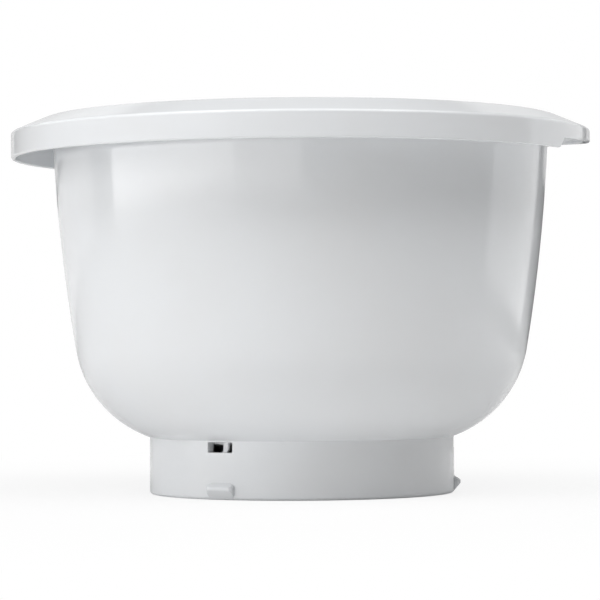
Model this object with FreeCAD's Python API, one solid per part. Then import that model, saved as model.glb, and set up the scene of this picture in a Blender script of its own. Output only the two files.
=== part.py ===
import FreeCAD, Part
import math
import os

os.makedirs("parts", exist_ok=True)

# A mixing bowl moulded in one piece: a round bowl with an open-bottomed rim flange,
# on a hollow foot ring that locks into a mixer's base with three bayonet lugs.
# Sizes are in millimetres and angles in degrees. The Z axis is the bowl's own axis,
# and z = 0 is the plane that the foot stands on.

overall_height = 163.9
wall = 2.4

# Bowl. The neck is the outside of the wall just under the flange, neck_drop below the crest.
neck_radius = 108.45
neck_drop = 13.9
neck_draft = 2.9
side_sweep_radius = 754.0
bottom_corner_radius = 49.3
floor_height = 21.9

# Rim flange, which reaches out from the neck, and the skirt that hangs from its edge
flange_reach = 18.55
rim_depth = 17.3
crest_radius = 5.0
flange_slope = 23.0
flange_corner_radius = 1.5
skirt_wall = 2.2
skirt_edge_radius = 0.8

# Half of the skirt is cut back. Seen from the side, its lower edge goes up a slanted step
# and then rises in one long curve until only the flange's edge is left.
cutback_direction = 58.8
cutback_step = 4.2
cutback_mid_run = 66.4
cutback_mid_rise = 6.5
cutback_end_run = 99.4
cutback_end_rise = 9.1

# Foot ring
foot_radius = 66.9
foot_draft = 0.3
foot_wall = 3.0
foot_corner_radius = 1.3
foot_inner_edge_radius = 0.5

# Bayonet lugs on the foot, one third of a turn apart, each a little to one side of its window.
# The top slopes down from lug_high at the wall to the tip. The underside slopes from the tip
# down to the foot's rounded corner, and cuts lug_root_bite into it.
lug_count = 3
first_lug_direction = 238.8
lug_high = 7.1
lug_tip_low = 4.15
lug_tip_height = 1.15
lug_root_bite = 0.05
lug_reach = 2.8
lug_width = 13.2
lug_offset = 0.6
lug_tip_rounding = 1.2
lug_end_clearance = 0.3

# Window in the foot over each lug, just below the bowl's underside. It goes through a pad
# that thickens the wall inside.
window_width = 12.0
window_height = 4.3
window_head = 0.65
window_corner_radius = 0.5
pad_depth = 1.5
pad_margin = 3.0
pad_sill = 6.8

# Post that stands in the pad's depth behind each window, with a foot swept to one side
post_width = 2.5
post_offset = 1.3
post_sweep = 1.4
post_lean = 0.7


def on_section(r, z):
    """A point of the bowl's section, in the XZ plane."""
    return FreeCAD.Vector(r, 0, z)


def rounded_path(corners, place=on_section):
    """Edges through (a, b, radius) corners, each one rounded by its own radius."""
    points = [place(a, b) for a, b, _ in corners]
    edges = []
    start = points[0]
    for before, corner, after, (_, _, radius) in zip(points, points[1:], points[2:], corners[1:]):
        if radius == 0:
            edges.append(Part.makeLine(start, corner))
            start = corner
            continue
        back = (before - corner).normalize()
        ahead = (after - corner).normalize()
        half_angle = back.getAngle(ahead) / 2
        arc_in = corner + back * (radius / math.tan(half_angle))
        arc_out = corner + ahead * (radius / math.tan(half_angle))
        middle_way = (back + ahead).normalize()
        arc_mid = corner + middle_way * (radius / math.sin(half_angle) - radius)
        edges.append(Part.makeLine(start, arc_in))
        edges.append(Part.Arc(arc_in, arc_mid, arc_out).toShape())
        start = arc_out
    edges.append(Part.makeLine(start, points[-1]))
    return edges


def turned(edges, angle=360):
    """The solid that a closed section sweeps about the Z axis."""
    face = Part.Face(Part.Wire(Part.__sortEdges__(edges)))
    return face.revolve(FreeCAD.Vector(0, 0, 0), FreeCAD.Vector(0, 0, 1), angle)


def arc_about(centre, radius, direction_in, direction_out):
    """An arc between two directions from its centre, in radians from the section's +r axis."""
    mid = (direction_in + direction_out) / 2
    ends = [
        centre + on_section(radius * math.cos(a), radius * math.sin(a))
        for a in (direction_in, mid, direction_out)
    ]
    return Part.Arc(*ends).toShape()


neck_height = overall_height - neck_drop
flange_radius = neck_radius + flange_reach
skirt_low = overall_height - rim_depth

# The side of the bowl is one shallow arc that leaves the neck at its draft. The bottom
# corner is an arc tangent to that side and to the flat floor.
draft = math.radians(neck_draft)
neck_up = on_section(math.sin(draft), math.cos(draft))
neck_inward = on_section(-math.cos(draft), math.sin(draft))
neck_outside = on_section(neck_radius, neck_height)
neck_inside = neck_outside + neck_inward * wall
side_centre = neck_outside + neck_inward * side_sweep_radius
corner_centre_z = floor_height + bottom_corner_radius
centre_distance = side_sweep_radius - bottom_corner_radius
centre_drop = side_centre.z - corner_centre_z
corner_centre = on_section(side_centre.x + math.sqrt(centre_distance**2 - centre_drop**2), corner_centre_z)
tangent_direction = -math.asin(centre_drop / centre_distance)


def underside_z(r, depth):
    """Height of the bowl's underside at radius r, or of the surface that lies depth inside it."""
    beyond_flat = max(r - corner_centre.x, 0)
    return corner_centre.z - math.sqrt((bottom_corner_radius - depth) ** 2 - beyond_flat**2)


window_high = underside_z(foot_radius, 0) - window_head
window_low = window_high - window_height
pad_low = window_low - pad_sill


def bowl_face_edges(depth):
    """Floor, bottom corner and side of the bowl's section, depth inside its outer face."""
    floor_z = floor_height + depth
    return [
        Part.makeLine(on_section(0, floor_z), on_section(corner_centre.x, floor_z)),
        arc_about(corner_centre, bottom_corner_radius - depth, -math.pi / 2, tangent_direction),
        arc_about(side_centre, side_sweep_radius - depth, tangent_direction, -draft),
    ]


def flange_edges():
    """Rim of the section, from the inner wall over the crest and round the skirt to the outer wall."""
    slope = math.radians(flange_slope)
    crest_z = overall_height - crest_radius
    inner_wall_r = neck_inside.x + (crest_z - neck_inside.z) * math.tan(draft)
    crest_r = inner_wall_r + crest_radius / math.cos(draft)

    def slope_z(r, depth):
        """Height of the flange's top at radius r, or of the face that lies depth under it."""
        radius = crest_radius - depth
        touch_r = crest_r + radius * math.sin(slope)
        touch_z = crest_z + radius * math.cos(slope)
        return touch_z - (r - touch_r) * math.tan(slope)

    def meet_wall(start, depth):
        """Where a wall line that leaves start at the draft meets the flange's face at that depth."""
        fall = slope_z(start.x, depth) - start.z
        return start + neck_up * (fall / (neck_up.z + neck_up.x * math.tan(slope)))

    crest = meet_wall(neck_inside, 0)
    root = meet_wall(neck_outside, wall)
    skirt_inside = flange_radius - skirt_wall
    return rounded_path([
        (neck_inside.x, neck_inside.z, 0),
        (crest.x, crest.z, crest_radius),
        (flange_radius, slope_z(flange_radius, 0), flange_corner_radius),
        (flange_radius, skirt_low, skirt_edge_radius),
        (skirt_inside, skirt_low, skirt_edge_radius),
        (skirt_inside, slope_z(skirt_inside, wall), skirt_edge_radius),
        (root.x, root.z, crest_radius - wall),
        (neck_outside.x, neck_outside.z, 0),
    ])


def bowl_with_flange():
    axis_edge = Part.makeLine(on_section(0, floor_height), on_section(0, floor_height + wall))
    return turned(bowl_face_edges(0) + flange_edges() + bowl_face_edges(wall) + [axis_edge])


def skirt_cutback():
    """Tool that cuts the skirt back. Its outline is drawn in the side view and runs across the bowl."""
    def side_view(run, rise):
        return on_section(run, skirt_low + rise)

    reach = 2 * flange_radius
    step_top = side_view(cutback_step, cutback_step)
    curve_end = side_view(cutback_end_run, cutback_end_rise)
    curve = Part.Arc(step_top, side_view(cutback_mid_run, cutback_mid_rise), curve_end).toShape()
    below = -cutback_step
    lines = Part.makePolygon([
        curve_end,
        side_view(reach, cutback_end_rise),
        side_view(reach, below),
        side_view(below, below),
        step_top,
    ])
    outline = Part.Face(Part.Wire(Part.__sortEdges__([curve] + lines.Edges)))
    tool = outline.extrude(FreeCAD.Vector(0, 2 * reach, 0))
    tool.translate(FreeCAD.Vector(0, -reach, 0))
    channel_radius = flange_radius - 2 * skirt_wall
    tool = tool.cut(Part.makeCylinder(channel_radius, overall_height))
    return turned_to(tool, cutback_direction)


def turned_to(shape, direction):
    """The shape, moved from its place over +X to a direction about the Z axis."""
    copy = shape.copy()
    copy.rotate(FreeCAD.Vector(0, 0, 0), FreeCAD.Vector(0, 0, 1), direction)
    return copy


def foot_ring():
    def outer_r(z):
        return foot_radius - z * math.tan(math.radians(foot_draft))

    inner_r = foot_radius - foot_wall
    outer_top_z = underside_z(foot_radius, wall / 2)
    inner_top_z = underside_z(inner_r, wall / 2)
    corners = [
        (inner_r, inner_top_z, 0),
        (inner_r, 0, foot_inner_edge_radius),
        (foot_radius, 0, foot_corner_radius),
        (outer_r(outer_top_z), outer_top_z, 0),
    ]
    closing = Part.makeLine(on_section(*corners[-1][:2]), on_section(*corners[0][:2]))
    return turned(rounded_path(corners) + [closing])


def on_window(y, z):
    """A point of a window's outline, square to the radius that points along +X."""
    return FreeCAD.Vector(0, y, z)


def window_pad():
    """Thickening of the foot's wall behind a window, sloped off at its lower end."""
    inner_r = foot_radius - foot_wall
    seat_r = inner_r + foot_wall / 2
    pad_r = inner_r - pad_depth
    top_z = underside_z(pad_r, wall / 2)
    corners = [
        (seat_r, top_z),
        (pad_r, top_z),
        (pad_r, pad_low),
        (inner_r, pad_low - pad_depth),
        (seat_r, pad_low - pad_depth),
    ]
    outline = Part.makePolygon([on_section(*corner) for corner in corners + corners[:1]])
    span = math.degrees((window_width + 2 * pad_margin) / inner_r)
    return turned_to(turned(outline.Edges, span), -span / 2)


def window_tool():
    """Rounded rectangle that cuts a window through the wall and its pad."""
    half = window_width / 2
    middle = (window_low + window_high) / 2
    corners = [
        (half, middle, 0),
        (half, window_high, window_corner_radius),
        (-half, window_high, window_corner_radius),
        (-half, window_low, window_corner_radius),
        (half, window_low, window_corner_radius),
        (half, middle, 0),
    ]
    outline = Part.Face(Part.Wire(Part.__sortEdges__(rounded_path(corners, on_window))))
    tool = outline.extrude(FreeCAD.Vector(2 * (foot_wall + pad_depth), 0, 0))
    tool.translate(FreeCAD.Vector(foot_radius - 1.5 * (foot_wall + pad_depth), 0, 0))
    return tool


def window_post():
    """Post across a window, as deep as the pad. Its ends are buried in the sill and the head."""
    left = post_offset - post_width / 2
    right = post_offset + post_width / 2
    buried = post_lean
    top = window_high + buried
    sill = window_low
    corners = [
        (right - post_lean, sill, 0),
        (right, sill + post_sweep, 0),
        (right, top, 0),
        (left, top, 0),
        (left, sill + post_sweep, 0),
    ]
    edges = rounded_path(corners, on_window)
    curve_centre = on_window(left - post_sweep, sill + post_sweep)
    half_way = math.radians(45)
    on_curve = curve_centre + on_window(math.cos(half_way), -math.sin(half_way)) * post_sweep
    sweep_end = on_window(left - post_sweep, sill)
    edges.append(Part.Arc(on_window(left, sill + post_sweep), on_curve, sweep_end).toShape())
    under_left = on_window(left - post_sweep, sill - buried)
    under_right = on_window(right - post_lean, sill - buried)
    edges.append(Part.makeLine(sweep_end, under_left))
    edges.append(Part.makeLine(under_left, under_right))
    edges.append(Part.makeLine(under_right, on_window(right - post_lean, sill)))
    post = Part.Face(Part.Wire(Part.__sortEdges__(edges))).extrude(FreeCAD.Vector(pad_depth, 0, 0))
    post.translate(FreeCAD.Vector(foot_radius - foot_wall - pad_depth, 0, 0))
    return post


def bayonet_lug():
    """Lug with slanted faces. A long round outline in plan gives it its rounded ends."""
    tip_r = foot_radius + lug_reach
    tip_high = lug_tip_low + lug_tip_height
    seat_depth = foot_corner_radius / 2
    top_slope = (lug_high - tip_high) / lug_reach
    root_radius = foot_corner_radius - lug_root_bite
    run = lug_reach + foot_corner_radius
    rise = lug_tip_low - foot_corner_radius
    underside = math.atan2(rise, run) + math.asin(root_radius / math.hypot(run, rise))
    root_r = foot_radius - foot_corner_radius + root_radius * math.sin(underside)
    root_z = foot_corner_radius - root_radius * math.cos(underside)
    corners = [
        (root_r, root_z, 0),
        (tip_r, lug_tip_low, lug_tip_rounding / 2),
        (tip_r, tip_high, lug_tip_rounding),
        (foot_radius - seat_depth, lug_high + seat_depth * top_slope, 0),
    ]
    closing = Part.makeLine(on_section(*corners[-1][:2]), on_section(*corners[0][:2]))
    ring = turned(rounded_path(corners) + [closing])
    end_radius = lug_reach + lug_end_clearance
    straight = lug_width / 2 - end_radius
    outer_x = tip_r + lug_end_clearance
    plan = Part.makeBox(2 * end_radius, 2 * straight, overall_height,
                        FreeCAD.Vector(outer_x - 2 * end_radius, lug_offset - straight, 0))
    for side in (-1, 1):
        end_axis = FreeCAD.Vector(outer_x - end_radius, lug_offset + side * straight, 0)
        plan = plan.fuse(Part.makeCylinder(end_radius, overall_height, end_axis))
    return ring.common(plan)


def mixing_bowl():
    lug_directions = [first_lug_direction + 360 / lug_count * k for k in range(lug_count)]
    foot = foot_ring()
    for direction in lug_directions:
        foot = foot.fuse(turned_to(window_pad(), direction))
    for direction in lug_directions:
        foot = foot.cut(turned_to(window_tool(), direction))
        foot = foot.fuse(turned_to(window_post(), direction))
        foot = foot.fuse(turned_to(bayonet_lug(), direction))
    bowl = bowl_with_flange().cut(skirt_cutback())
    return bowl.fuse(foot).removeSplitter()


mixing_bowl().exportStep("parts/mixing_bowl.step")
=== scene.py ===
import math

import bmesh
import bpy
from mathutils import Euler, Matrix, Vector


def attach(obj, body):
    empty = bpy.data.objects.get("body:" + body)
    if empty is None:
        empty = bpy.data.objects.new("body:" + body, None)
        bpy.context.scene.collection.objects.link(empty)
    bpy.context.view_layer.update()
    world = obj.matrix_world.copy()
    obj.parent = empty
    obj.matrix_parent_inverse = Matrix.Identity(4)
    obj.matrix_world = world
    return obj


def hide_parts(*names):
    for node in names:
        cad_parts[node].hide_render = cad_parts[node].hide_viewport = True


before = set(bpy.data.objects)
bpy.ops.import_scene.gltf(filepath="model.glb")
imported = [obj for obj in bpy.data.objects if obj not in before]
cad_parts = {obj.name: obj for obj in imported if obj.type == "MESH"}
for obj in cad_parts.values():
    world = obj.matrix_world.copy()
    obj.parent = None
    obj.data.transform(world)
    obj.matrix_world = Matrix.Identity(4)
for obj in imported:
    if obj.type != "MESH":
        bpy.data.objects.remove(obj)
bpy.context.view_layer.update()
scene = bpy.context.scene
mm = 0.001
weldReach = 0.002 * mm  # points that are nearer than this become one
onPlane = 0.01          # millimetres off a plane that still count as on it

# The bowl's section, in millimetres: r from its axis and z from the table.
# These are the sizes of the CAD solid that this mesh stands for.
bowlForm = {
    "height": 163.9,
    "wall": 2.4,
    "neckRadius": 108.45,
    "neckHeight": 150.0,
    "neckDraft": 2.9,
    "sideSweep": 754.0,
    "cornerRadius": 49.3,
    "floorHeight": 21.9,
    "crestRadius": 5.0,
    "flangeRadius": 127.0,
    "flangeSlope": 23.0,
    "flangeCorner": 1.5,
    "skirtWall": 2.2,
    "skirtLow": 146.6,
    "skirtEdge": 0.8,
    "footRadius": 66.9,
    "footDraft": 0.3,
    "footWall": 3.0,
    "footCorner": 1.3,
    "footInnerEdge": 0.5,
    "floorSteps": 5,         # rows of the turned mesh, in the order in which they are drawn
    "footInnerSteps": 4,
    "footCornerSteps": 6,
    "footRows": 10,          # enough of them to keep the shading even round the windows
    "cornerSteps": 22,
    "sideSteps": 16,
    "neckRows": 2,
    "underCrestSteps": 8,
    "underFlangeRows": 2,
    "skirtEdgeSteps": 5,
    "flangeCornerSteps": 8,
    "flangeRows": 3,
    "crestSteps": 16,
    "columnStep": 0.8,       # degrees between the columns of the turned mesh
    "fineColumnStep": 0.15,  # and where the skirt steps up
    "smoothBelow": 32,       # degrees between faces that are shaded as one surface
    "normalWeight": 80,      # how far the large faces lead the shading
}

# Half of the skirt is cut back: its lower edge goes up a slanted step, then one long curve.
# Runs and rises are in millimetres from the step's foot, seen from the side.
cutbackForm = {
    "direction": 58.8,
    "step": 4.2,
    "stepRounding": 0.5,
    "midRun": 66.4,
    "midRise": 6.5,
    "endRun": 99.4,
    "endRise": 9.1,
    "fineSpan": 4.0,    # degrees of fine columns over each step
    "fineBefore": 0.7,  # of which so many lie before its foot
    "leastStub": 0.1,   # skirt that is always left inside, under the flange
}


def deselectAll():
    if bpy.context.object and bpy.context.object.mode != "OBJECT":
        bpy.ops.object.mode_set(mode="OBJECT")
    bpy.ops.object.select_all(action="DESELECT")


def makeActive(piece):
    deselectAll()
    piece.select_set(True)
    bpy.context.view_layer.objects.active = piece


def startPoint(name, place):
    # one point to draw from: a small plane, merged at its centre
    deselectAll()
    bpy.ops.mesh.primitive_plane_add(size=mm, location=place)
    piece = bpy.context.object
    piece.name = name
    bpy.ops.object.transform_apply(location=True, rotation=True, scale=True)
    bpy.ops.object.mode_set(mode="EDIT")
    bpy.ops.mesh.select_mode(type="VERT")
    bpy.ops.mesh.select_all(action="SELECT")
    bpy.ops.mesh.merge(type="CENTER")
    return piece


class OutlinePen:
    # draws a section in the plane y = 0, from point to point
    def __init__(self, name, r, z):
        self.at = (r, z)
        self.piece = startPoint(name, (r * mm, 0, z * mm))

    def lineTo(self, r, z, steps=1):
        step = ((r - self.at[0]) / steps * mm, 0, (z - self.at[1]) / steps * mm)
        for _ in range(steps):
            bpy.ops.mesh.extrude_vertices_move(TRANSFORM_OT_translate={"value": step})
        self.at = (r, z)

    def arcTo(self, centre, degrees, steps):
        # degrees count from +r towards +z
        turn = math.radians(degrees)
        bpy.ops.mesh.spin(steps=steps, angle=turn, axis=(0, 1, 0),
                          center=(centre[0] * mm, 0, centre[1] * mm))
        r, z = self.at[0] - centre[0], self.at[1] - centre[1]
        self.at = (centre[0] + r * math.cos(turn) - z * math.sin(turn),
                   centre[1] + r * math.sin(turn) + z * math.cos(turn))


def sectionPlaces(form):
    # the arcs' centres, and the angle where the bottom corner runs into the side
    draft = math.radians(form["neckDraft"])
    sideCentre = (form["neckRadius"] - math.cos(draft) * form["sideSweep"],
                  form["neckHeight"] + math.sin(draft) * form["sideSweep"])
    cornerZ = form["floorHeight"] + form["cornerRadius"]
    reach = form["sideSweep"] - form["cornerRadius"]
    drop = sideCentre[1] - cornerZ
    cornerCentre = (sideCentre[0] + math.sqrt(reach ** 2 - drop ** 2), cornerZ)
    tangent = -math.degrees(math.asin(drop / reach))
    crestZ = form["height"] - form["crestRadius"]
    insideNeck = (form["neckRadius"] - math.cos(draft) * form["wall"],
                  form["neckHeight"] + math.sin(draft) * form["wall"])
    innerWallR = insideNeck[0] + (crestZ - insideNeck[1]) * math.tan(draft)
    crestCentre = (innerWallR + form["crestRadius"] / math.cos(draft), crestZ)
    return sideCentre, cornerCentre, tangent, crestCentre


def polar(centre, radius, degrees):
    # a point on a circle
    angle = math.radians(degrees)
    return centre[0] + radius * math.cos(angle), centre[1] + radius * math.sin(angle)


def drawSection(form):
    # the outline is drawn from the middle of the floor's underside, out, up, over and back inside
    sideCentre, cornerCentre, tangent, crestCentre = sectionPlaces(form)
    draft = form["neckDraft"]
    slope = math.radians(form["flangeSlope"])
    overSlope = 90 - form["flangeSlope"]
    wall = form["wall"]
    cornerR = form["cornerRadius"]
    footInner = form["footRadius"] - form["footWall"]

    def underside(r):
        # where on the bottom corner's arc this radius is
        return -math.degrees(math.acos((r - cornerCentre[0]) / cornerR))

    def slopeZ(r, radius):
        # height of the flange's slope, which touches the crest's circle of this radius
        touch = polar(crestCentre, radius, overSlope)
        return touch[1] - (r - touch[0]) * math.tan(slope)

    pen = OutlinePen("mixing_bowl_moulding", 0, form["floorHeight"])
    pen.lineTo(cornerCentre[0], form["floorHeight"])
    pen.arcTo(cornerCentre, underside(footInner) + 90, form["floorSteps"])

    # foot ring
    innerEdge, footCorner = form["footInnerEdge"], form["footCorner"]
    taper = math.tan(math.radians(form["footDraft"]))
    creaseAngle = underside(form["footRadius"] - form["floorHeight"] * taper)
    crease = polar(cornerCentre, cornerR, creaseAngle)
    pen.lineTo(footInner, innerEdge)
    pen.arcTo((footInner + innerEdge, innerEdge), 90, form["footInnerSteps"])
    pen.lineTo(form["footRadius"] - footCorner, 0)
    pen.arcTo((form["footRadius"] - footCorner, footCorner), 90, form["footCornerSteps"])
    pen.lineTo(crease[0], crease[1], form["footRows"])

    # bottom corner, side and neck, outside
    pen.arcTo(cornerCentre, tangent - creaseAngle, form["cornerSteps"])
    pen.arcTo(sideCentre, -draft - tangent, form["sideSteps"])
    root = polar(crestCentre, form["crestRadius"] - wall, 180 - draft)
    pen.lineTo(root[0], root[1], form["neckRows"])

    # under the flange, and round the skirt
    skirtInside, skirtOutside = form["flangeRadius"] - form["skirtWall"], form["flangeRadius"]
    skirtTop = slopeZ(skirtInside, form["crestRadius"] - wall)
    low, edge = form["skirtLow"], form["skirtEdge"]
    pen.arcTo(crestCentre, overSlope - (180 - draft), form["underCrestSteps"])
    pen.lineTo(skirtInside, skirtTop, form["underFlangeRows"])
    pen.lineTo(skirtInside, low + edge)
    pen.arcTo((skirtInside + edge, low + edge), 90, form["skirtEdgeSteps"])
    pen.lineTo(skirtOutside - edge, low)
    pen.arcTo((skirtOutside - edge, low + edge), 90, form["skirtEdgeSteps"])

    # up over the flange's corner, its slope and the crest
    flangeCorner = form["flangeCorner"]
    setback = flangeCorner / math.tan(math.radians(90 + form["flangeSlope"]) / 2)
    cornerZ = slopeZ(skirtOutside, form["crestRadius"]) - setback
    touch = polar(crestCentre, form["crestRadius"], overSlope)
    pen.lineTo(skirtOutside, cornerZ)
    pen.arcTo((skirtOutside - flangeCorner, cornerZ), overSlope, form["flangeCornerSteps"])
    pen.lineTo(touch[0], touch[1], form["flangeRows"])
    pen.arcTo(crestCentre, 180 - draft - overSlope, form["crestSteps"])

    # down the inside
    inside = polar(sideCentre, form["sideSweep"] - wall, -draft)
    pen.lineTo(inside[0], inside[1], form["neckRows"])
    pen.arcTo(sideCentre, tangent + draft, form["sideSteps"])
    pen.arcTo(cornerCentre, -90 - tangent, form["cornerSteps"])
    pen.lineTo(0, form["floorHeight"] + wall)
    return pen.piece, skirtTop


def softMax(a, b, width):
    # the larger of the two, with the corner between them rounded
    if abs(a - b) >= width:
        return max(a, b)
    return max(a, b) + (width - abs(a - b)) ** 2 / (4 * width)


def circleThrough(p, q, s):
    a, b, c = p.dot(p), q.dot(q), s.dot(s)
    d = 2 * (p.x * (q.y - s.y) + q.x * (s.y - p.y) + s.x * (p.y - q.y))
    centre = Vector(((a * (q.y - s.y) + b * (s.y - p.y) + c * (p.y - q.y)) / d,
                     (a * (s.x - q.x) + b * (p.x - s.x) + c * (q.x - p.x)) / d))
    return centre, (p - centre).length


def skirtRise(run):
    # how far the skirt's lower edge stands above its full depth, seen from the side
    form = cutbackForm
    stepTop = Vector((form["step"], form["step"]))
    end = Vector((form["endRun"], form["endRise"]))
    centre, radius = circleThrough(stepTop, Vector((form["midRun"], form["midRise"])), end)
    along = min(max(run, form["step"]), end.x)
    curve = centre.y + math.copysign(math.sqrt(radius ** 2 - (along - centre.x) ** 2), -centre.y)
    slant = softMax(run, 0.0, form["stepRounding"])
    return -softMax(-slant, -curve, form["stepRounding"])


def turnAboutAxis(degrees):
    # with no window, the rotate operator turns the other way
    bpy.ops.transform.rotate(value=-math.radians(degrees), orient_axis="Z", orient_type="GLOBAL",
                             center_override=(0, 0, 0))


def spinColumns(degrees, step):
    # turns what is selected clockwise, seen from above
    bpy.ops.mesh.spin(steps=round(degrees / step), angle=math.radians(degrees),
                      center=(0, 0, 0), axis=(0, 0, 1))


def selectWhere(piece, chosen):
    # chosen looks at a point in millimetres
    sheet = bmesh.from_edit_mesh(piece.data)
    bpy.ops.mesh.select_all(action="DESELECT")
    for v in sheet.verts:
        if chosen(v.co / mm):
            v.select = True
    sheet.select_flush(True)


def cutSkirtBack(piece, form, underside):
    # column by column, the skirt's rounded lower edge is lifted
    sheet = bmesh.from_edit_mesh(piece.data)
    low, edge = form["skirtLow"], form["skirtEdge"]
    inner = form["flangeRadius"] - form["skirtWall"] - edge / 2
    middle = form["flangeRadius"] - form["skirtWall"] / 2
    edgeTop = low + 1.5 * edge
    columns = {}
    for v in sheet.verts:
        if math.hypot(v.co.x, v.co.y) / mm > inner and v.co.z / mm < edgeTop:
            columns.setdefault(round(math.atan2(v.co.y, v.co.x), 5), []).append(v)
    for angle, column in columns.items():
        rise = skirtRise(form["flangeRadius"] * math.cos(angle))
        if rise <= 0:
            continue
        bpy.ops.mesh.select_all(action="DESELECT")
        for v in column:
            v.select = True
        bpy.ops.transform.translate(value=(0, 0, rise * mm))
        # inside, the rounded edge is pressed flatter where the underside leaves it less room
        room = underside - cutbackForm["leastStub"] - low - rise
        if room < edge:
            for v in column:
                v.select = math.hypot(v.co.x, v.co.y) / mm < middle
            bpy.ops.transform.resize(value=(1, 1, room / edge),
                                     center_override=(0, 0, (low + rise) * mm))


def turnSection(piece, form, underside):
    # a quarter turn with the cut-back skirt and a quarter with the whole skirt, then their mirror image
    fine, before = cutbackForm["fineSpan"], cutbackForm["fineBefore"]
    bpy.ops.mesh.select_all(action="SELECT")
    spinColumns(90 + before - fine, form["columnStep"])
    spinColumns(fine, form["fineColumnStep"])
    bpy.ops.mesh.select_all(action="SELECT")
    bpy.ops.mesh.remove_doubles(threshold=weldReach)
    cutSkirtBack(piece, form, underside)
    ahead = math.radians(-90 - before)
    across = Vector((-math.sin(ahead), math.cos(ahead), 0))
    selectWhere(piece, lambda co: abs(co.dot(across)) < onPlane)
    spinColumns(90 - before, form["columnStep"])
    bpy.ops.mesh.select_all(action="SELECT")
    bpy.ops.mesh.duplicate()
    bpy.ops.transform.mirror(constraint_axis=(False, True, False), orient_type="GLOBAL",
                             center_override=(0, 0, 0))
    bpy.ops.mesh.select_all(action="SELECT")
    bpy.ops.mesh.remove_doubles(threshold=weldReach)
    bpy.ops.mesh.normals_make_consistent(inside=False)
    turnAboutAxis(cutbackForm["direction"])
    bpy.ops.object.mode_set(mode="OBJECT")


bowl, undersideEnd = drawSection(bowlForm)
turnSection(bowl, bowlForm, undersideEnd)
print("bowl turned:", len(bowl.data.polygons), "faces")

# Three windows in the foot, each with a pad behind it, a post across it and a lug below it.
# They are made over +X and then turned to their places.
footDetails = {
    "directions": (238.8, -1.2, 118.8),
    "windowWidth": 12.0,
    "windowLow": 19.8,
    "windowHigh": 24.1,
    "windowCorner": 0.5,
    "windowEdge": 0.35,      # rounding of the windows' outer edges
    "windowEdgeSteps": 3,
    "padDepth": 1.5,
    "padMargin": 3.0,        # pad on either side of the window
    "padOver": 0.8,          # and above it
    "padLow": 13.0,
    "padColumns": 20,
    "postWidth": 2.5,
    "postOffset": 1.3,
    "postSweep": 1.4,
    "postSweepSteps": 5,
    "postLean": 0.7,
    "postEdge": 0.2,
    "lugHigh": 7.1,
    "lugTipLow": 4.15,
    "lugTipHeight": 1.15,
    "lugRootBite": 0.05,
    "lugReach": 2.8,
    "lugWidth": 13.2,
    "lugOffset": 0.6,
    "lugEndClearance": 0.3,
    "lugFrontCorner": 2.4,
    "lugWedge": 16,          # degrees of the turned wedge that the lug is cut from
    "lugWedgeColumns": 40,
    "lugEndSides": 64,
    "lugGrain": 0.2,         # the lug is remeshed at this grain
    "lugSmoothing": 24,      # and smoothed so many times, which rounds its edges and ends
    "blockCornerSteps": 4,
}


def pushOutline(pen, push):
    # fills the drawn outline and pushes it to a solid
    bpy.ops.mesh.select_all(action="SELECT")
    bpy.ops.mesh.remove_doubles(threshold=weldReach)
    bpy.ops.mesh.edge_face_add()
    bpy.ops.mesh.extrude_region_move(TRANSFORM_OT_translate={"value": push})
    bpy.ops.mesh.select_all(action="SELECT")
    bpy.ops.mesh.normals_make_consistent(inside=False)
    bpy.ops.object.mode_set(mode="OBJECT")
    return pen.piece


def turnWedge(pen, degrees, steps):
    # turns the drawn outline into a wedge about the bowl's axis, centred over +X, and caps its ends
    bpy.ops.mesh.select_all(action="SELECT")
    bpy.ops.mesh.remove_doubles(threshold=weldReach)
    turnAboutAxis(-degrees / 2)
    bpy.ops.mesh.spin(steps=steps, angle=math.radians(degrees), center=(0, 0, 0), axis=(0, 0, -1))
    for side in (-1, 1):
        angle = math.radians(side * degrees / 2)
        across = Vector((-math.sin(angle), math.cos(angle), 0))
        selectWhere(pen.piece, lambda co: abs(co.dot(across)) < onPlane)
        bpy.ops.mesh.edge_face_add()
    bpy.ops.mesh.select_all(action="SELECT")
    bpy.ops.mesh.normals_make_consistent(inside=False)
    bpy.ops.object.mode_set(mode="OBJECT")
    return pen.piece


def applyModifier(piece, kind, **settings):
    # adds a modifier of this kind, sets it up and applies it
    makeActive(piece)
    modifier = piece.modifiers.new(kind.lower(), kind)
    for name, value in settings.items():
        setattr(modifier, name, value)
    bpy.ops.object.modifier_apply(modifier=modifier.name)


def combine(piece, other, operation):
    applyModifier(piece, "BOOLEAN", object=other, operation=operation, solver="EXACT")
    bpy.data.objects.remove(other)


def threeCopies(piece, directions):
    # one mesh with the piece at each direction
    copies = []
    for direction in directions:
        makeActive(piece)
        bpy.ops.object.duplicate(linked=False)
        copy = bpy.context.object
        bpy.ops.object.mode_set(mode="EDIT")
        bpy.ops.mesh.select_all(action="SELECT")
        turnAboutAxis(direction)
        bpy.ops.object.mode_set(mode="OBJECT")
        copies.append(copy)
    bpy.data.objects.remove(piece)
    makeActive(copies[0])
    for copy in copies:
        copy.select_set(True)
    bpy.ops.object.join()
    return bpy.context.object


def selectCreases(piece, degrees, chosen):
    # the edges where faces meet at more than so many degrees, if both ends are chosen
    sheet = bmesh.from_edit_mesh(piece.data)
    bpy.ops.mesh.select_mode(type="EDGE")
    bpy.ops.mesh.select_all(action="DESELECT")
    for edge in sheet.edges:
        creased = edge.calc_face_angle(0) > math.radians(degrees)
        if creased and all(chosen(v.co / mm) for v in edge.verts):
            edge.select = True
    sheet.select_flush(True)


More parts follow.
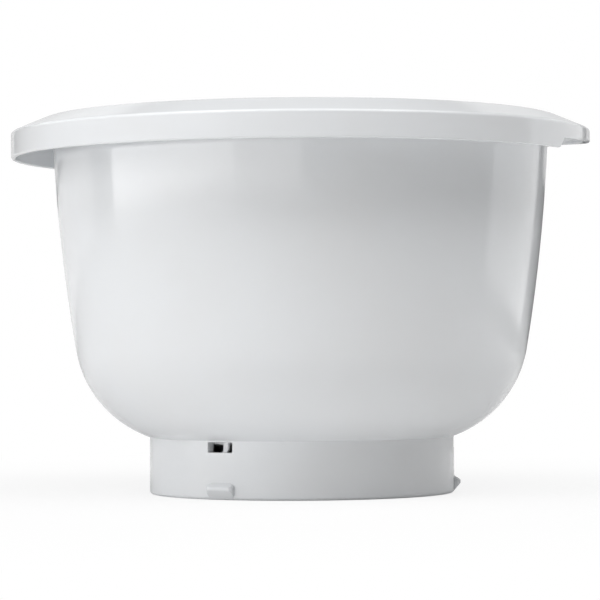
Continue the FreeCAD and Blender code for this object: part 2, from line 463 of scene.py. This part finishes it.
def roundWindows(piece, form, foot):
    # only the windows' edges in the foot's outer face are rounded
    makeActive(piece)
    bpy.ops.object.mode_set(mode="EDIT")
    skin, near, crease = 0.5, 0.05, 40  # millimetres in from the face and past the window, degrees
    outside = foot["footRadius"] - skin
    low, high = form["windowLow"] - near, form["windowHigh"] + near
    selectCreases(piece, crease, lambda co: math.hypot(co.x, co.y) > outside and low < co.z < high)
    bpy.ops.mesh.bevel(offset=form["windowEdge"] * mm, segments=form["windowEdgeSteps"])
    bpy.ops.mesh.select_mode(type="VERT")
    bpy.ops.object.mode_set(mode="OBJECT")


def windowPad(form, foot):
    # a thickening inside the foot's wall, with a slanted lower end
    inner = foot["footRadius"] - foot["footWall"]
    seat = inner + foot["footWall"] / 2
    face = inner - form["padDepth"]
    top = form["windowHigh"] + form["padOver"]
    low = form["padLow"]
    lowest = low - form["padDepth"]
    pen = OutlinePen("window_pad", seat, top)
    for r, z in ((face, top), (face, low), (inner, lowest), (seat, lowest), (seat, top)):
        pen.lineTo(r, z)
    span = math.degrees((form["windowWidth"] + 2 * form["padMargin"]) / inner)
    return turnWedge(pen, span, form["padColumns"])


def roundedBlock(place, size, corner, steps):
    # a block with its four edges along X rounded
    deselectAll()
    bpy.ops.mesh.primitive_cube_add(size=mm, location=[c * mm for c in place])
    piece = bpy.context.object
    bpy.ops.object.transform_apply(location=True, rotation=True, scale=True)
    bpy.ops.object.mode_set(mode="EDIT")
    bpy.ops.transform.resize(value=size, center_override=[c * mm for c in place])
    sheet = bmesh.from_edit_mesh(piece.data)
    bpy.ops.mesh.select_mode(type="EDGE")
    bpy.ops.mesh.select_all(action="DESELECT")
    for edge in sheet.edges:
        along = edge.verts[0].co - edge.verts[1].co
        edge.select = abs(along.x) > abs(along.y) + abs(along.z)
    bpy.ops.mesh.bevel(offset=corner * mm, segments=steps)
    bpy.ops.mesh.select_mode(type="VERT")
    bpy.ops.object.mode_set(mode="OBJECT")
    return piece


def windowCutter(form, foot):
    middle = (foot["footRadius"] - foot["footWall"] / 2, 0, (form["windowLow"] + form["windowHigh"]) / 2)
    size = (2 * (foot["footWall"] + form["padDepth"]), form["windowWidth"],
            form["windowHigh"] - form["windowLow"])
    return roundedBlock(middle, size, form["windowCorner"], form["blockCornerSteps"])


def windowPost(form, foot):
    # its outline is drawn in the window's plane, pushed to the pad's depth and turned over +X
    left = form["postOffset"] - form["postWidth"] / 2
    right = form["postOffset"] + form["postWidth"] / 2
    sweep, lean = form["postSweep"], form["postLean"]
    sill, top = form["windowLow"], form["windowHigh"] + lean
    pen = OutlinePen("window_post", right - lean, sill - lean)
    for x, z in ((right - lean, sill), (right, sill + sweep), (right, top),
                 (left, top), (left, sill + sweep)):
        pen.lineTo(x, z)
    pen.arcTo((left - sweep, sill + sweep), -90, form["postSweepSteps"])
    pen.lineTo(left - sweep, sill - lean)
    pen.lineTo(right - lean, sill - lean)
    piece = pushOutline(pen, (0, -form["padDepth"] * mm, 0))
    applyModifier(piece, "BEVEL", width=form["postEdge"] * mm, segments=2, limit_method="ANGLE")
    makeActive(piece)
    bpy.ops.object.mode_set(mode="EDIT")
    bpy.ops.mesh.select_all(action="SELECT")
    turnAboutAxis(90)
    padFace = foot["footRadius"] - foot["footWall"] - form["padDepth"]
    bpy.ops.transform.translate(value=(padFace * mm, 0, 0))
    bpy.ops.object.mode_set(mode="OBJECT")
    return piece


def bayonetLug(form, foot):
    # a turned wedge with the lug's section, cut to its plan and its front, then smoothed
    tip = foot["footRadius"] + form["lugReach"]
    tipHigh = form["lugTipLow"] + form["lugTipHeight"]
    seatDepth = foot["footCorner"] / 2
    seat = foot["footRadius"] - seatDepth
    seatHigh = form["lugHigh"] + seatDepth * (form["lugHigh"] - tipHigh) / form["lugReach"]
    # the underside runs down to the foot's rounded corner and just cuts into it
    rootRadius = foot["footCorner"] - form["lugRootBite"]
    run = form["lugReach"] + foot["footCorner"]
    rise = form["lugTipLow"] - foot["footCorner"]
    underside = math.atan2(rise, run) + math.asin(rootRadius / math.hypot(run, rise))
    root = polar((foot["footRadius"] - foot["footCorner"], foot["footCorner"]), rootRadius,
                 math.degrees(underside) - 90)
    pen = OutlinePen("bayonet_lug", seat, seatHigh)
    pen.lineTo(*root)
    pen.lineTo(tip, form["lugTipLow"], 2)
    pen.lineTo(tip, tipHigh)
    pen.lineTo(seat, seatHigh)
    lug = turnWedge(pen, form["lugWedge"], form["lugWedgeColumns"])

    # a long round block, which gives the lug its rounded ends
    endRadius = form["lugReach"] + form["lugEndClearance"]
    straight = form["lugWidth"] / 2 - endRadius
    middle = tip + form["lugEndClearance"] - endRadius
    high = form["lugHigh"]
    deselectAll()
    bpy.ops.mesh.primitive_cylinder_add(vertices=form["lugEndSides"], radius=endRadius * mm,
                                        depth=2 * high * mm, location=(middle * mm, 0, high * mm))
    plan = bpy.context.object
    bpy.ops.object.transform_apply(location=True, rotation=True, scale=True)
    bpy.ops.object.mode_set(mode="EDIT")
    for side in (-1, 1):
        selectWhere(plan, lambda co: co.y * side > onPlane)
        bpy.ops.transform.translate(value=(0, side * straight * mm, 0))
    bpy.ops.mesh.select_all(action="SELECT")
    bpy.ops.transform.translate(value=(0, form["lugOffset"] * mm, 0))
    bpy.ops.object.mode_set(mode="OBJECT")
    combine(lug, plan, "INTERSECT")

    # and a block that rounds its corners as they are seen from the front
    front = roundedBlock((tip, form["lugOffset"], (high + root[1]) / 2),
                         (4 * endRadius, form["lugWidth"], high - root[1]),
                         form["lugFrontCorner"], form["blockCornerSteps"])
    combine(lug, front, "INTERSECT")
    applyModifier(lug, "REMESH", mode="VOXEL", voxel_size=form["lugGrain"] * mm)
    applyModifier(lug, "SMOOTH", factor=0.5, iterations=form["lugSmoothing"])
    return lug


pads = threeCopies(windowPad(footDetails, bowlForm), footDetails["directions"])
combine(bowl, pads, "UNION")
cutters = threeCopies(windowCutter(footDetails, bowlForm), footDetails["directions"])
combine(bowl, cutters, "DIFFERENCE")
roundWindows(bowl, footDetails, bowlForm)
posts = threeCopies(windowPost(footDetails, bowlForm), footDetails["directions"])
lugs = threeCopies(bayonetLug(footDetails, bowlForm), footDetails["directions"])
makeActive(posts)
lugs.select_set(True)
bpy.ops.object.join()
combine(bowl, posts, "UNION")
makeActive(bowl)
bpy.ops.object.shade_smooth_by_angle(angle=math.radians(bowlForm["smoothBelow"]))
applyModifier(bowl, "WEIGHTED_NORMAL", keep_sharp=True, weight=bowlForm["normalWeight"])
print("foot finished:", len(bowl.data.polygons), "faces")


class Wire:
    # a shader value that can be used in plain sums
    def __init__(self, tree, socket):
        self.tree = tree
        self.socket = socket

    def math(self, operation, *others):
        node = self.tree.nodes.new("ShaderNodeMath")
        node.operation = operation
        for place, value in enumerate((self,) + others):
            if isinstance(value, Wire):
                self.tree.links.new(value.socket, node.inputs[place])
            else:
                node.inputs[place].default_value = value
        return Wire(self.tree, node.outputs[0])

    def __add__(self, other):
        return self.math("ADD", other)

    def __radd__(self, other):
        return self.math("ADD", other)

    def __sub__(self, other):
        return self.math("SUBTRACT", other)

    def __rsub__(self, other):
        return -self + other

    def __mul__(self, other):
        return self.math("MULTIPLY", other)

    def __rmul__(self, other):
        return self.math("MULTIPLY", other)

    def __truediv__(self, other):
        return self.math("DIVIDE", other)

    def __rtruediv__(self, other):
        return self.math("POWER", -1.0) * other

    def __neg__(self):
        return self * -1.0

    def above(self, low, high):
        # 0 below low, 1 above high, and smooth between them
        share = ((self - low) / (high - low)).math("MAXIMUM", 0.0).math("MINIMUM", 1.0)
        return share * share * (3.0 - 2.0 * share)


class Finish:
    # the node tree of a material or of the world
    def __init__(self, owner):
        owner.use_nodes = True
        self.tree = owner.node_tree
        self.tree.nodes.clear()

    def node(self, kind, settings=None, values=None, output=0):
        # values are numbers, colours or wires
        node = self.tree.nodes.new(kind)
        for name, value in (settings or {}).items():
            setattr(node, name, value)
        for name, value in (values or {}).items():
            if isinstance(value, Wire):
                self.tree.links.new(value.socket, node.inputs[name])
            else:
                node.inputs[name].default_value = value
        return Wire(self.tree, node.outputs[output] if node.outputs else None)

    def noise(self, place, scale, detail, roughness):
        return self.node("ShaderNodeTexNoise", {}, {
            "Vector": place, "Scale": scale, "Detail": detail, "Roughness": roughness}, "Fac")

    def mix(self, factor, first, second):
        return self.node("ShaderNodeMix", {"data_type": "RGBA"}, {0: factor, 6: first, 7: second}, 2)


plasticFinish = {
    "colour": (0.80, 0.815, 0.83, 1),
    "warmer": (0.79, 0.80, 0.81, 1),
    "toneNoise": (14.0, 4.0, 0.6),      # scale, detail and roughness of the drift between them
    "toneRange": (0.35, 0.7),
    "gloss": 0.13,                      # roughness where it is polished
    "smudge": 0.07,                     # added where it was handled
    "smudgeNoise": (30.0, 5.0, 0.65),
    "smudgeRange": (0.52, 0.72),
    "hiddenGloss": 0.38,                # roughness inside the foot, which the mould leaves matt
    "hiddenDepth": (2.6, 2.2),          # from the foot's face, where the matt begins and ends
    "hiddenTop": (0.5, 1.5),            # and over the floor's underside
    "footWear": 0.3,                    # added on the edge that it stands on
    "wearTop": (0.1, 0.9),
    "peelNoise": (420.0, 1.0, 0.4),     # the skin of a moulding, bumps of 2 to 3 mm
    "peelHeight": 0.0022,
    "waveNoise": (26.0, 1.0, 0.3),      # slow waves, 40 mm or so
    "waveHeight": 0.03,
    "refraction": 1.49,
}


def whitePlastic(look, foot):
    material = bpy.data.materials.new("white_gloss_plastic")
    finish = Finish(material)
    place = finish.node("ShaderNodeTexCoord", output="Object")
    x = finish.node("ShaderNodeSeparateXYZ", values={"Vector": place}, output="X")
    y = Wire(finish.tree, x.socket.node.outputs["Y"])
    z = Wire(finish.tree, x.socket.node.outputs["Z"])
    fromAxis = (x * x + y * y).math("SQRT")

    tone = finish.noise(place, *look["toneNoise"]).above(*look["toneRange"])
    colour = finish.mix(tone, look["colour"], look["warmer"])

    handled = finish.noise(place, *look["smudgeNoise"]).above(*look["smudgeRange"])
    outside = fromAxis.above(*[(foot["footRadius"] - depth) * mm for depth in look["hiddenDepth"]])
    overhead = z.above(*[(foot["floorHeight"] + rise) * mm for rise in look["hiddenTop"]])
    hidden = (1.0 - outside) * (1.0 - overhead)
    worn = 1.0 - z.above(*[rise * mm for rise in look["wearTop"]])
    rough = look["gloss"] + look["smudge"] * handled
    rough += (look["hiddenGloss"] - look["gloss"]) * hidden + look["footWear"] * worn

    peel = finish.noise(place, *look["peelNoise"])
    wave = finish.noise(place, *look["waveNoise"])
    height = look["peelHeight"] * peel + look["waveHeight"] * wave
    bump = finish.node("ShaderNodeBump", {}, {"Strength": 1.0, "Distance": mm, "Height": height})
    surface = finish.node("ShaderNodeBsdfPrincipled", {}, {
        "Base Color": colour, "Roughness": rough, "IOR": look["refraction"], "Normal": bump})
    finish.node("ShaderNodeOutputMaterial", {}, {"Surface": surface})
    return material


bowl.data.materials.clear()
bowl.data.materials.append(whitePlastic(plasticFinish, bowlForm))
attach(bowl, "root")
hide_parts("mixing_bowl")
print("plastic finish made")

studio = {
    "floorHalf": 4.0,
    "floorColour": (0.82, 0.82, 0.82, 1),
    "floorLift": 0.84,  # near the bowl, where the floor keeps its shadow
    "shadowReach": (0.1, 0.42),
    "footEdge": 0.065,  # nearer than this, inside the foot, the floor isn't lifted
    "air": (0.03, 0.03, 0.031),
}


def paleFloor(look):
    # a pale floor that the camera sees nearly white, but for the bowl's shadow
    deselectAll()
    bpy.ops.mesh.primitive_plane_add(size=2 * look["floorHalf"], location=(0, 0, 0))
    floor = bpy.context.object
    floor.name = "floor"
    material = bpy.data.materials.new("pale_floor")
    finish = Finish(material)
    seen = finish.node("ShaderNodeLightPath", output="Is Camera Ray")
    place = finish.node("ShaderNodeTexCoord", output="Object")
    away = finish.node("ShaderNodeVectorMath", {"operation": "LENGTH"}, {0: place}, "Value")
    nearBowl = 1.0 - away.above(*look["shadowReach"])
    beyondFoot = away.above(look["footEdge"] - mm, look["footEdge"])
    lift = seen * beyondFoot * (1.0 - (1.0 - look["floorLift"]) * nearBowl)
    plain = finish.node("ShaderNodeBsdfDiffuse", {}, {"Color": look["floorColour"]})
    white = finish.node("ShaderNodeEmission", {}, {"Color": (1, 1, 1, 1), "Strength": 1.0})
    finish.node("ShaderNodeOutputMaterial", {}, {
        "Surface": finish.node("ShaderNodeMixShader", {}, {0: lift, 1: plain, 2: white})})
    floor.data.materials.append(material)


def openAir(look):
    # white to the camera, a soft grey to the bowl
    world = bpy.data.worlds.new("studio_air")
    scene.world = world
    finish = Finish(world)
    seen = finish.node("ShaderNodeLightPath", output="Is Camera Ray")
    air = finish.node("ShaderNodeBackground", {}, {"Color": (*look["air"], 1), "Strength": 1.0})
    white = finish.node("ShaderNodeBackground", {}, {"Color": (1, 1, 1, 1), "Strength": 1.0})
    finish.node("ShaderNodeOutputWorld", {}, {
        "Surface": finish.node("ShaderNodeMixShader", {}, {0: seen, 1: air, 2: white})})


# Each softbox has its azimuth from the camera's side, to the right of the picture, its elevation,
# distance, width, height and radiance
softboxes = {
    "leftLow": (-62, 0.7, 1.6, 2.0, 0.19, 3.9),
    "frontLow": (-15, 0.7, 1.6, 0.9, 0.19, 1.9),
    "leftWall": (-57, 24, 1.6, 1.67, 0.8, 1.6),
    "backLeft": (-110, 24, 1.6, 1.2, 0.5, 1.2),
    "backLow": (-142, 0.7, 1.6, 2.0, 0.19, 0.8),
    "rightCard": (112, 16, 0.5, 0.41, 0.4, 1.1),
    "backWall": (180, 19.5, 1.6, 1.7, 0.85, 0.6),
    "overFront": (0, 62, 1.6, 2.2, 0.6, 3.2),
    "overLeft": (-60, 62, 1.6, 1.2, 0.6, 2.0),
    "overRight": (60, 62, 1.6, 1.2, 0.6, 2.7),
    "top": (0, 89.9, 1.5, 1.2, 1.2, 0.85),
}
aimHeight = 0.08


def addSoftboxes(boxes):
    for name, (azimuth, elevation, distance, width, height, radiance) in boxes.items():
        light = bpy.data.lights.new(name, "AREA")
        light.shape = "RECTANGLE"
        light.size, light.size_y = width, height
        light.energy = radiance * math.pi * width * height
        stand = bpy.data.objects.new(name, light)
        scene.collection.objects.link(stand)
        turn, lift = math.radians(azimuth), math.radians(elevation)
        away = Vector((math.sin(turn) * math.cos(lift), -math.cos(turn) * math.cos(lift),
                       math.sin(lift)))
        stand.location = away * distance + Vector((0, 0, aimHeight))
        stand.rotation_euler = (-away).to_track_quat("-Z", "Y").to_euler()


paleFloor(studio)
openAir(studio)
addSoftboxes(softboxes)
print("studio lit with", len(softboxes), "softboxes")

# the camera stands as the photographer's did, level with the bowl and far off
cameraPlace = {
    "distance": 1.1893,
    "height": 0.0645,
    "side": -0.00052,
    "focalPixels": 2698.6,
    "pictureWidth": 600,
    "sensorWidth": 36,
    "tiltUp": 0.97,
    "roll": -0.0053,
}


def addCamera(place):
    camera = bpy.data.cameras.new("camera")
    camera.sensor_width = place["sensorWidth"]
    camera.lens = place["focalPixels"] / place["pictureWidth"] * place["sensorWidth"]
    stand = bpy.data.objects.new("camera", camera)
    scene.collection.objects.link(stand)
    tilt = Euler((math.radians(90 + place["tiltUp"]), 0, 0)).to_matrix()
    turn = (tilt @ Matrix.Rotation(place["roll"], 3, "Z")).to_4x4()
    stand.matrix_world = Matrix.Translation((place["side"], -place["distance"], place["height"])) @ turn
    scene.camera = stand


addCamera(cameraPlace)
print("camera placed")
scene.view_settings.view_transform = "Standard"
